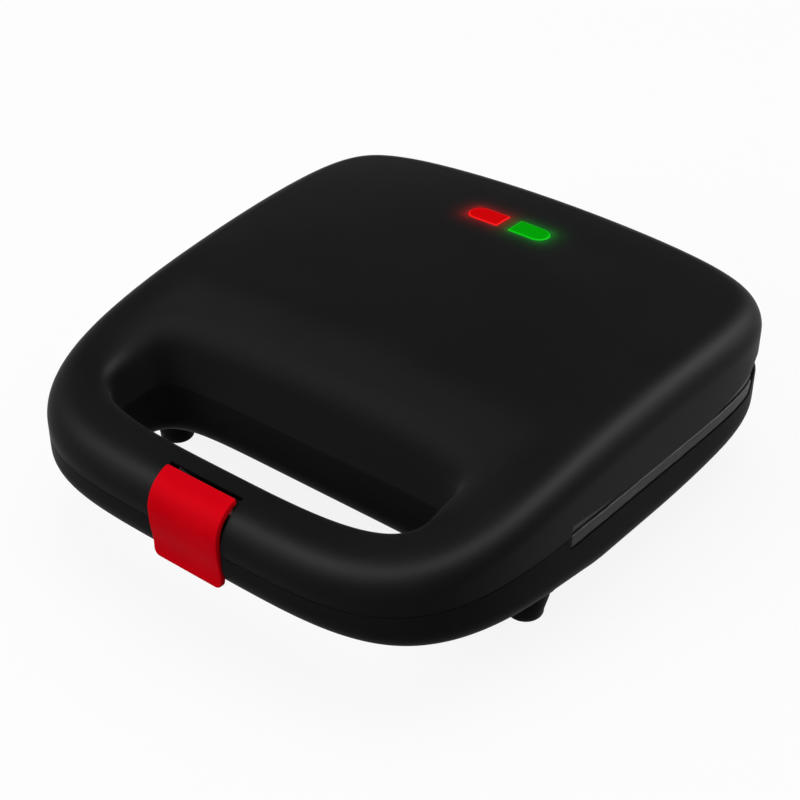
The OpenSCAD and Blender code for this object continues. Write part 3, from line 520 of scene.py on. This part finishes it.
def lamp_glass(name, tint):
    mat, nt, bsdf = material(name)
    cloud = noise(nt, 200.0, 2.0)
    nt.links.new(ramp(nt, cloud, [(0.3, tint), (0.7, tuple(min(1, c * 1.2) for c in tint))]),
                 bsdf.inputs["Base Color"])
    bsdf.inputs["Roughness"].default_value = 0.1
    bsdf.inputs["Transmission Weight"].default_value = 0.7
    return mat


def paint(ob, mat):
    ob.data.materials.clear()
    ob.data.materials.append(mat)
    return ob


# ---------------------------------------------------------------- shells
PLATE_W, CORNER_R = W - 8.0, 10.0
PLATE_FRONT, PLATE_REAR = OPEN_Y + OPEN_D / 2 + 11.4, REAR - 17.9
PLATE_D, PLATE_Y = PLATE_REAR - PLATE_FRONT, (PLATE_FRONT + PLATE_REAR) / 2
NOTCH_L, NOTCH_H, NOTCH_CORNER = PLATE_D - 2 * CORNER_R + 8.5, 6.3, 3.5
NOTCH_Y0, NOTCH_Y1 = PLATE_Y - NOTCH_L / 2, PLATE_Y + NOTCH_L / 2 - 3.6
LID_EDGE = 0.9
NOTCH_FRONT_L, NOTCH_FRONT_RISE, NOTCH_REAR_L, NOTCH_REAR_RISE = 44, 4.4, 40, 6.0
HINGE_X, HINGE_Y, EAR_R = 56.0, REAR + 1.1, 5.4
LID_EAR, BASE_EAR, PLAY, HINGE_GAP, GUSSET_H = 11.0, 6.0, 0.4, 0.6, 15
LATCH_T, LATCH_PROUD, LATCH_TOP_ANGLE = 2.6, 1.6, 99
LATCH_EAR_R, LATCH_EAR_X, LATCH_EAR_HALF, LATCH_EAR_GAP = 3.6, 12, 2, 0.9
PIVOT_SHIFT, PIN_HOLE_R = 4.4, 1.55
ARC_Y = FRONT + LID_EDGE_R
HANDLE_TOP = float(lid_face(np.array([0.0, ARC_Y])))
ARC_Z = HANDLE_TOP - LID_EDGE_R
LATCH_R = LID_EDGE_R + LATCH_PROUD
PIVOT_Y, PIVOT_Z = ARC_Y - PIVOT_SHIFT, HANDLE_TOP + LATCH_PROUD - LATCH_T - LATCH_EAR_R
POCKET_X, POCKET_GAP, LID_SKIRT = 18.2, 3.2, 1.7
CORE_X = POCKET_X + WALL
POCKET_REAR = ARC_Y + LATCH_R * math.cos(math.radians(LATCH_TOP_ANGLE)) + POCKET_GAP
POCKET_FLOOR = PIVOT_Z - LATCH_EAR_R - LATCH_EAR_GAP
BASE_POCKET_Y = FRONT + 3.5
LATCH_LOW = PARTING - 16.6
HOOK_TOP = LATCH_LOW + 6.4
SLOT_HALF, SLOT_DEPTH, SLOT_BELOW, SLOT_ABOVE = 9, 2.2, 5.4, 0.5
PAST, TALL = 20, 200
FOOT_X, FOOT_YS = 94.5, (FRONT + 88.4, REAR - 30)
VENT_PITCH, VENT_ROW_Y, VENT_HALF_L, VENT_R = 8.0, 34, 11, 1.5
BUSH_Z, BUSH_HOLE_R = 34.4, 5.5
LENS_TOP = float(lid_face(np.array([0.0, LENS_Y])))


def flip_z(lid, h):
    return PARTING + (h if lid else -h)


def notch_top(y, lid):
    """Height of a side notch from the parting plane; the lid's is lowest halfway."""
    if not lid:
        return NOTCH_H - NOTCH_CORNER * ease(y, NOTCH_Y1 - NOTCH_CORNER, NOTCH_Y1)
    front = np.clip(1 - (y - NOTCH_Y0) / NOTCH_FRONT_L, 0, 1)
    rear = np.clip(1 - (NOTCH_Y1 - y) / NOTCH_REAR_L, 0, 1)
    return LID_EDGE + NOTCH_FRONT_RISE * front + NOTCH_REAR_RISE * rear


def notch_cutters(lid):
    ys = np.linspace(NOTCH_Y0, NOTCH_Y1, 41)
    pts = [(NOTCH_Y1, flip_z(lid, -1)), (NOTCH_Y0, flip_z(lid, -1))]
    pts += [(float(y), flip_z(lid, float(notch_top(y, lid)))) for y in ys]
    return [lambda bm, s=s: prism(bm, pts, "x", *sorted((s * 105, s * 140))) for s in (-1, 1)]


def hinge_cutters():
    half = LID_EAR / 2 + BASE_EAR + 2 * PLAY
    return [lambda bm, s=s: prism(bm, circle(HINGE_Y, PARTING, EAR_R + HINGE_GAP), "x",
                                  s * HINGE_X - half, s * HINGE_X + half) for s in (-1, 1)]


def ear(x, width, lid):
    s = 1 if lid else -1
    drum, gusset = bmesh.new(), bmesh.new()
    prism(drum, circle(HINGE_Y, PARTING, EAR_R, 64), "x", x - width / 2, x + width / 2)
    pts = [(HINGE_Y - EAR_R + 0.5, 0), (HINGE_Y + EAR_R, 0), (REAR + 0.2, GUSSET_H),
           (REAR - WALL + 0.5, GUSSET_H), (REAR - WALL + 0.5, EAR_R + 2),
           (HINGE_Y - EAR_R - 1.2, EAR_R - 2.2)]
    prism(gusset, [(y, PARTING + s * z) for y, z in pts], "x", x - width / 2, x + width / 2)
    return unite(new_object("ear", drum), new_object("gusset", gusset))


def ears(lid):
    if lid:
        return [ear(sx * HINGE_X, LID_EAR, True) for sx in (-1, 1)]
    shift = LID_EAR / 2 + PLAY + BASE_EAR / 2
    return [ear(sx * HINGE_X + s * shift, BASE_EAR, False) for sx in (-1, 1) for s in (-1, 1)]


def pocket_cutters(lid):
    """The latch's pocket in the handle, and the slot in the base that its hook snaps into."""
    out = FRONT - PAST
    if lid:
        return [lambda bm: box(bm, (-POCKET_X, out, 0), (POCKET_X, FRONT + LID_SKIRT, POCKET_FLOOR + 1)),
                lambda bm: box(bm, (-POCKET_X, out, POCKET_FLOOR), (POCKET_X, POCKET_REAR, TALL))]
    return [lambda bm: box(bm, (-POCKET_X, out, 0), (POCKET_X, BASE_POCKET_Y, TALL)),
            lambda bm: box(bm, (-SLOT_HALF, out, HOOK_TOP - SLOT_BELOW),
                           (SLOT_HALF, BASE_POCKET_Y + SLOT_DEPTH, HOOK_TOP + SLOT_ABOVE))]


def core(lid):
    ob = solid("core", lid, WALL / 3)
    rear = POCKET_REAR + WALL if lid else BASE_POCKET_Y + WALL + 0.5
    cut(ob, [lambda bm: box(bm, (-CORE_X, FRONT - 1, 0), (CORE_X, rear, TALL))], "INTERSECT")
    return cut(ob, pocket_cutters(lid))


def lens_outline(side, grow, steps=24):
    r = LENS_HALF + grow
    pts = [(LENS_IN - grow, -r)]
    pts += circle(LENS_OUT - LENS_HALF, 0, r, steps, -90, 90)
    pts += [(LENS_IN - grow, r)]
    return [(side * x, LENS_Y + y) for x, y in pts]


def foot(bm, x, y):
    """A foot's cone, and the fillet with which it meets the sloped underside."""
    def at(r, a, z, on_face):
        px, py = x + r * math.cos(a), y + r * math.sin(a)
        return bm.verts.new(Vector((px, py, z + (float(base_face(np.array([px, py]))) if on_face
                                                 else 0))) * MM)
    profile = [(7.6, 2.6, False), (9.5, 10.4, False), (9.8, -1.4, True), (10.1, -0.8, True),
               (10.8, -0.2, True), (12.0, 0.3, True)]
    n = 64
    rows = [[at(r, 2 * math.pi * i / n, z, on_face) for i in range(n)] for r, z, on_face in profile]
    for a, b in zip(rows, rows[1:]):
        for i in range(n):
            bm.faces.new((a[i], a[(i + 1) % n], b[(i + 1) % n], b[i]))
    for row, z, on_face in ((rows[0], 2.6, False), (rows[-1], 0.6, True)):
        middle = at(0, 0, z, on_face)
        for i in range(n):
            bm.faces.new((middle, row[i], row[(i + 1) % n]))


lid_housing = skin("lid_housing", True)
cut(lid_housing, notch_cutters(True) + hinge_cutters() + pocket_cutters(True)
    + [lambda bm, s=s: prism(bm, lens_outline(s, 0.15), "z", LENS_TOP - 20, LENS_TOP + 20)
       for s in (-1, 1)])
unite(lid_housing, core(True), *ears(True))
smooth(lid_housing)
paint(lid_housing, lid_black)
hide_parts("lid_shell")
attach(lid_housing, "lid")


def vent(bm, x, y):
    pts = (circle(x, y + VENT_HALF_L, VENT_R, 12, 0, 180)
           + circle(x, y - VENT_HALF_L, VENT_R, 12, 180, 360))
    prism(bm, pts, "z", 10, 17)


def vents(bm):
    for s in (-1, 1):
        for i in range(-3, 4):
            vent(bm, i * VENT_PITCH, PLATE_Y + s * VENT_ROW_Y)


def bush_hole(bm):
    pts = circle(0, BUSH_Z, BUSH_HOLE_R)
    lower = [bm.verts.new(Vector((p[0], REAR - PAST, p[1])) * MM) for p in pts]
    upper = [bm.verts.new(Vector((p[0], REAR + PAST, p[1])) * MM) for p in pts]
    bm.faces.new(lower)
    bm.faces.new(upper[::-1])
    for i in range(len(pts)):
        j = (i + 1) % len(pts)
        bm.faces.new((lower[i], upper[i], upper[j], lower[j]))


def feet():
    made = []
    for sx in (-1, 1):
        for y in FOOT_YS:
            bm = bmesh.new()
            foot(bm, sx * FOOT_X, y)
            made.append(new_object("foot", bm))
    return made


base_housing = skin("base_housing", False)
cut(base_housing, notch_cutters(False) + hinge_cutters() + pocket_cutters(False) + [vents, bush_hole])
unite(base_housing, core(False), *ears(False), *feet())
smooth(base_housing)
paint(base_housing, housing)
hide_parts("base_shell")
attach(base_housing, "base")

# ---------------------------------------------------------------- latch
LATCH_W, LATCH_LEAN, LATCH_LIP = 35.0, 1.4, 0.4
TOP_CORNER, LOW_CORNER, LATCH_EDGE = 1.0, 3.2, 0.55
HOOK_W, HOOK_DEPTH = 16.0, 3.0


def latch_line():
    """The latch's outer line in the YZ plane: an arc over the handle, then down to the lip."""
    y = ARC_Y - LATCH_R
    pts = circle(ARC_Y, ARC_Z, LATCH_R, 28, LATCH_TOP_ANGLE, 180)
    pts += [(y + LATCH_LEAN * 0.15, PARTING - 1), (y + LATCH_LEAN * 0.85, LATCH_LOW + 8.5),
            (y + LATCH_LEAN, LATCH_LOW + 5), (y + LATCH_LEAN - LATCH_LIP * 0.3, LATCH_LOW + 2.5),
            (y + LATCH_LEAN - LATCH_LIP, LATCH_LOW)]
    pts = np.array(pts)
    length = np.concatenate([[0], np.cumsum(np.hypot(*np.diff(pts, axis=0).T))])
    even = np.linspace(0, length[-1], 90)
    line = np.stack([np.interp(even, length, pts[:, 0]), np.interp(even, length, pts[:, 1])], -1)
    for _ in range(5):
        line[1:-1] = (line[:-2] + 2 * line[1:-1] + line[2:]) / 4
    return even, line


def latch_side(inset, length):
    """Right half of the latch's outline as (x, distance along the line), from top to bottom."""
    half = LATCH_W / 2 - inset
    r0, r1 = max(TOP_CORNER - inset, 0.04), max(LOW_CORNER - inset, 0.04)
    arc = np.radians(np.linspace(90, 0, 7))
    top = np.stack([half - r0 + r0 * np.cos(arc), inset + r0 - r0 * np.sin(arc)], -1)
    arc = np.radians(np.linspace(0, 90, 11))
    low = np.stack([half - r1 + r1 * np.cos(arc), length - inset - r1 + r1 * np.sin(arc)], -1)
    side = np.linspace(top[-1], low[0], 60)[1:-1]
    return np.concatenate([top, side, low])


def latch_shell():
    """The bent plate: loops round its rounded rim, and rows across its two faces."""
    along, line = latch_line()
    slope = np.gradient(line, along, axis=0)
    slope /= np.linalg.norm(slope, axis=1, keepdims=True)
    e = LATCH_EDGE
    quarter = np.radians(np.linspace(0, 90, 6))
    loops = [(e + 0.5, 0.0)] + [(e * (1 - math.sin(a)), -e * (1 - math.cos(a))) for a in quarter]
    loops += [(d, -LATCH_T - h) for d, h in reversed(loops)]
    verts = []
    for inset, depth in loops:
        side = latch_side(inset, along[-1])
        for x, s in list(side) + [(-x, s) for x, s in side[::-1]]:
            y, z = np.interp(s, along, line[:, 0]), np.interp(s, along, line[:, 1])
            ty, tz = np.interp(s, along, slope[:, 0]), np.interp(s, along, slope[:, 1])
            verts.append((x * MM, (y + tz * depth) * MM, (z - ty * depth) * MM))
    m = len(verts) // len(loops)
    faces = [(k * m + i, k * m + (i + 1) % m, (k + 1) * m + (i + 1) % m, (k + 1) * m + i)
             for k in range(len(loops) - 1) for i in range(m)]
    last = (len(loops) - 1) * m
    for first in (0, last):
        faces += [(first + i, first + i + 1, first + m - 2 - i, first + m - 1 - i)
                  for i in range(m // 2 - 1)]
    me = bpy.data.meshes.new("latch")
    me.from_pydata(verts, [], faces)
    bm = bmesh.new()
    bm.from_mesh(me)
    bpy.data.meshes.remove(me)
    return new_object("latch_red_moulding", bm)


def latch_ear(x):
    drum, web = bmesh.new(), bmesh.new()
    low, high = x - LATCH_EAR_HALF, x + LATCH_EAR_HALF
    prism(drum, circle(PIVOT_Y, PIVOT_Z, LATCH_EAR_R, 48), "x", low, high)
    pts = [(-3.4, -1.2), (3.4, -1.2), (2.4, 3.6), (-1, 4.2), (-5, 2.2)]
    pts = [(PIVOT_Y + y, PIVOT_Z + z) for y, z in pts]
    prism(web, pts + [(ARC_Y - LATCH_R + LATCH_T - 0.5, PIVOT_Z - 1.2)], "x", low, high)
    return unite(new_object("ear", drum), new_object("web", web))


def latch_hook():
    bm = bmesh.new()
    y = ARC_Y - LATCH_R + LATCH_LEAN + LATCH_T
    prism(bm, [(y - 0.5, HOOK_TOP - 3.8), (y + HOOK_DEPTH - 1, HOOK_TOP - 2.4),
               (y + HOOK_DEPTH, HOOK_TOP - 1.4), (y + HOOK_DEPTH, HOOK_TOP), (y - 0.5, HOOK_TOP)],
          "x", -HOOK_W / 2, HOOK_W / 2)
    return new_object("hook", bm)


latch = unite(latch_shell(), latch_ear(-LATCH_EAR_X), latch_ear(LATCH_EAR_X), latch_hook())
cut(latch, [lambda bm: prism(bm, circle(PIVOT_Y, PIVOT_Z, PIN_HOLE_R, 32), "x", -PAST, PAST)])
smooth(latch, 40)
paint(latch, latch_red)
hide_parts("latch")
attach(latch, "latch")


# ---------------------------------------------------------------- lenses
def lens(name, side, mat):
    rows = [(0.0, -4.0, 1.0), (0.0, -0.6, 1.0), (0.05, 0.0, 1.0), (0.3, 0.22, 1.0),
            (0.6, 0.33, 0.9), (0.8, 0.34, 0.3), (1.1, 0.3, 0.0), (1.7, 0.3, 0.12), (3.4, 0.32, 0.0)]
    me = bpy.data.meshes.new(name)
    verts, faces, rim = [], [], []
    for inset, dz, value in rows:
        pts = lens_outline(side, -0.02 - inset)
        z = lid_face(np.array(pts))
        verts += [(p[0] * MM, p[1] * MM, (zz + dz) * MM) for p, zz in zip(pts, z)]
        rim += [value] * len(pts)
    n = len(lens_outline(side, 0))
    for k in range(len(rows) - 1):
        for i in range(n):
            j = (i + 1) % n
            q = (k * n + i, k * n + j, (k + 1) * n + j, (k + 1) * n + i)
            faces.append(q if side > 0 else q[::-1])
    last = [(len(rows) - 1) * n + i for i in range(n)]
    first = list(range(n))
    faces.append(last if side > 0 else last[::-1])
    faces.append(first[::-1] if side > 0 else first)
    me.from_pydata(verts, [], faces)
    att = me.attributes.new("rim", "FLOAT", "POINT")
    att.data.foreach_set("value", rim)
    ob = bpy.data.objects.new(name, me)
    scene.collection.objects.link(ob)
    smooth(ob, 60)
    paint(ob, mat)
    return ob


for side, name, mat, node, slot in ((-1, "lens_cap_red", red_lit, "red_lens", "lens_red"),
                                    (1, "lens_cap_green", green_lit, "green_lens", "lens_green")):
    cap = lens(name, side, mat)
    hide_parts(node)
    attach(cap, "lid")

# ---------------------------------------------------------------- plate flanges
FLANGE_INSET, LID_FLANGE_INSET, FLANGE_LOW, FLANGE_GAP = 0.5, 1.2, 0.4, 0.3


def side_x(y, inset):
    """Half width of the housing at y, in by inset."""
    t = np.linspace(-math.pi / 2, math.pi / 2, 721)
    xy = outline(t, inset)
    order = np.argsort(xy[:, 1])
    return float(np.interp(y, xy[order, 1], xy[order, 0]))


def flange(lid):
    """The lips of a plate in the two side notches, each as high as its notch. The lower plate's
    are nearly flush with the housing; the upper plate's lie deeper and are thinnest halfway."""
    ys = np.linspace(NOTCH_Y0 + FLANGE_GAP, NOTCH_Y1 - FLANGE_GAP, 60)
    high = notch_top(ys, lid) - 0.2
    bm = bmesh.new()
    for s in (-1, 1):
        loops = []
        for i, y in enumerate(ys):
            x = max(side_x(y, LID_FLANGE_INSET if lid else FLANGE_INSET), PLATE_W / 2 - 0.6)
            rise = high[i] - FLANGE_LOW
            rows = [(FLANGE_LOW + rise * k, d) for k, d in
                    ((0, 0.3), (0.05, 0.06), (0.1, 0.0), (0.9, 0.0), (0.95, 0.06), (1, 0.3))]
            outer = [(x - d, flip_z(lid, h)) for h, d in rows]
            loop = [(PLATE_W / 2 - 1.2, outer[0][1])] + outer + [(PLATE_W / 2 - 1.2, outer[-1][1])]
            loops.append([bm.verts.new(Vector((s * px, y, pz)) * MM) for px, pz in loop])
        for a, b in zip(loops, loops[1:]):
            for i in range(len(a)):
                j = (i + 1) % len(a)
                bm.faces.new((a[i], a[j], b[j], b[i]))
        bm.faces.new(loops[0])
        bm.faces.new(loops[-1])
    return bm


for lid, name, body in ((False, "lower_plate_flanges", "base"), (True, "upper_plate_flanges", "lid")):
    lips = smooth(new_object(name, flange(lid)), 25)
    paint(lips, plate_coat)
    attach(lips, body)

# ---------------------------------------------------------------- CAD nodes that stay
finish = {
    "base_handle_cover": cover_black, "lid_handle_cover": cover_black,
    "lower_plate": plate_coat, "upper_plate": plate_coat,
    "lower_heater": heater_steel, "upper_heater": heater_steel,
    "lower_reflector": bright_sheet, "upper_reflector": bright_sheet,
    "foot_pads": rubber, "cord_bush": rubber,
    "terminal_block": ceramic, "lamp_holder": ceramic, "thermostat": ceramic,
    "thermal_fuse": fuse_sleeve,
    "red_lamp": lamp_glass("lamp_red", (0.9, 0.25, 0.2)),
    "green_lamp": lamp_glass("lamp_green", (0.3, 0.8, 0.35)),
}
for name, ob in nodes.items():
    if name in ("base_shell", "lid_shell", "latch", "red_lens", "green_lens"):
        continue
    mat = finish.get(name, steel)
    for slot in ob.material_slots:
        slot.material = mat

# ---------------------------------------------------------------- stage and light
floor_mesh = bmesh.new()
bmesh.ops.create_grid(floor_mesh, x_segments=1, y_segments=1, size=6)
floor = new_object("floor", floor_mesh)


FLOOR_SEEN, FLOOR_UNSEEN, FLOOR_LIFT = 0.9, 0.12, 0.88
BAND_GLOSS, STUDIO_GLOSS, BAND_LIGHT, AMBIENT = 64.0, 0.1, 0.3, 0.6
RING_AXIS, FACING = (-0.233, 0.314, 0.920), (0.6, -0.8, 0.0)


def sees_background(nt):
    """1 for camera, glossy and transmission rays and 0 for the rest; and the light path node."""
    path = nt.nodes.new("ShaderNodeLightPath")
    both = math_node(nt, "MAXIMUM", path.outputs["Is Camera Ray"], path.outputs["Is Glossy Ray"])
    return math_node(nt, "MAXIMUM", both, path.outputs["Is Transmission Ray"]), path


def floor_material():
    """White where it is seen or mirrored; darker for the rest, so it doesn't light the sides."""
    mat = bpy.data.materials.new("floor_white")
    mat.use_nodes = True
    nt = mat.node_tree
    nt.nodes.clear()
    out = nt.nodes.new("ShaderNodeOutputMaterial")
    seen = nt.nodes.new("ShaderNodeBsdfDiffuse")
    seen.inputs[0].default_value = (FLOOR_SEEN, FLOOR_SEEN, FLOOR_SEEN, 1)
    lift = nt.nodes.new("ShaderNodeEmission")
    lift.inputs[0].default_value = (1, 1, 1, 1)
    white = nt.nodes.new("ShaderNodeMixShader")
    white.inputs[0].default_value = FLOOR_LIFT
    nt.links.new(seen.outputs[0], white.inputs[1])
    nt.links.new(lift.outputs[0], white.inputs[2])
    dark = nt.nodes.new("ShaderNodeBsdfDiffuse")
    dark.inputs[0].default_value = (FLOOR_UNSEEN, FLOOR_UNSEEN, FLOOR_UNSEEN, 1)
    mix = nt.nodes.new("ShaderNodeMixShader")
    nt.links.new(sees_background(nt)[0], mix.inputs[0])
    nt.links.new(dark.outputs[0], mix.inputs[1])
    nt.links.new(white.outputs[0], mix.inputs[2])
    nt.links.new(mix.outputs[0], out.inputs[0])
    return mat


paint(floor, floor_material())


def studio_world():
    """White for camera rays. Glossy and transmission rays see white only below the horizon, and
    above it a dim studio with one ring of bright softboxes, whose reflection runs along the
    rounded upper edges that face the camera. Other rays see an even light and a faint ring."""
    world = bpy.data.worlds.new("studio")
    scene.world = world
    world.use_nodes = True
    nt = world.node_tree
    nt.nodes.clear()
    out = nt.nodes.new("ShaderNodeOutputWorld")
    bg = nt.nodes.new("ShaderNodeBackground")
    tc = nt.nodes.new("ShaderNodeTexCoord")

    def dot(axis):
        n = nt.nodes.new("ShaderNodeVectorMath")
        n.operation = "DOT_PRODUCT"
        n.inputs[1].default_value = Vector(axis).normalized()
        nt.links.new(tc.outputs["Generated"], n.inputs[0])
        return n.outputs["Value"]

    ring_dot = dot(RING_AXIS)
    rise = math_node(nt, "ADD", map_range(nt, ring_dot, 0.30, 0.54, 0, 0.88, True),
                     map_range(nt, ring_dot, -0.05, 0.35, 0, 0.12, True))
    drop = map_range(nt, ring_dot, 0.54, 0.68, 1, 0, True)
    side = math_node(nt, "MULTIPLY", map_range(nt, dot(FACING), -0.75, 0.05, 0.0, 1.0, True),
                     map_range(nt, dot((1.0, 0.0, 0.0)), -0.80, -0.50, 0.08, 1.0, True))
    band = math_node(nt, "MULTIPLY", math_node(nt, "MULTIPLY", rise, drop), side)
    seen, path = sees_background(nt)
    mirrored = math_node(nt, "MULTIPLY", band, BAND_GLOSS)
    unseen = math_node(nt, "ADD", math_node(nt, "MULTIPLY", band, BAND_LIGHT), AMBIENT)
    not_camera = math_node(nt, "SUBTRACT", 1.0, path.outputs["Is Camera Ray"])
    backdrop = map_range(nt, dot((0, 0, 1)), -0.02, 0.08, 1.0, STUDIO_GLOSS, True)
    backdrop = math_node(nt, "MAXIMUM", backdrop, path.outputs["Is Camera Ray"])
    gloss = math_node(nt, "ADD", backdrop, math_node(nt, "MULTIPLY", mirrored, not_camera))
    mix = nt.nodes.new("ShaderNodeMix")
    nt.links.new(seen, mix.inputs[0])
    nt.links.new(unseen, mix.inputs[2])
    nt.links.new(gloss, mix.inputs[3])
    nt.links.new(mix.outputs[0], bg.inputs[1])
    bg.inputs[0].default_value = (1, 1, 1, 1)
    nt.links.new(bg.outputs[0], out.inputs[0])


studio_world()


def area(name, place, target, size, power):
    data = bpy.data.lights.new(name, "AREA")
    data.shape = "DISK"
    data.size = size
    data.energy = power
    ob = bpy.data.objects.new(name, data)
    ob.location = place
    ob.rotation_euler = (Vector(target) - Vector(place)).to_track_quat("-Z", "Y").to_euler()
    scene.collection.objects.link(ob)


area("front_soft", (-0.6, -1.7, 0.9), (0, -0.1, 0.03), 1.0, 12)
area("overhead", (-0.1, 0.3, 1.8), (0, 0, 0), 1.2, 7)
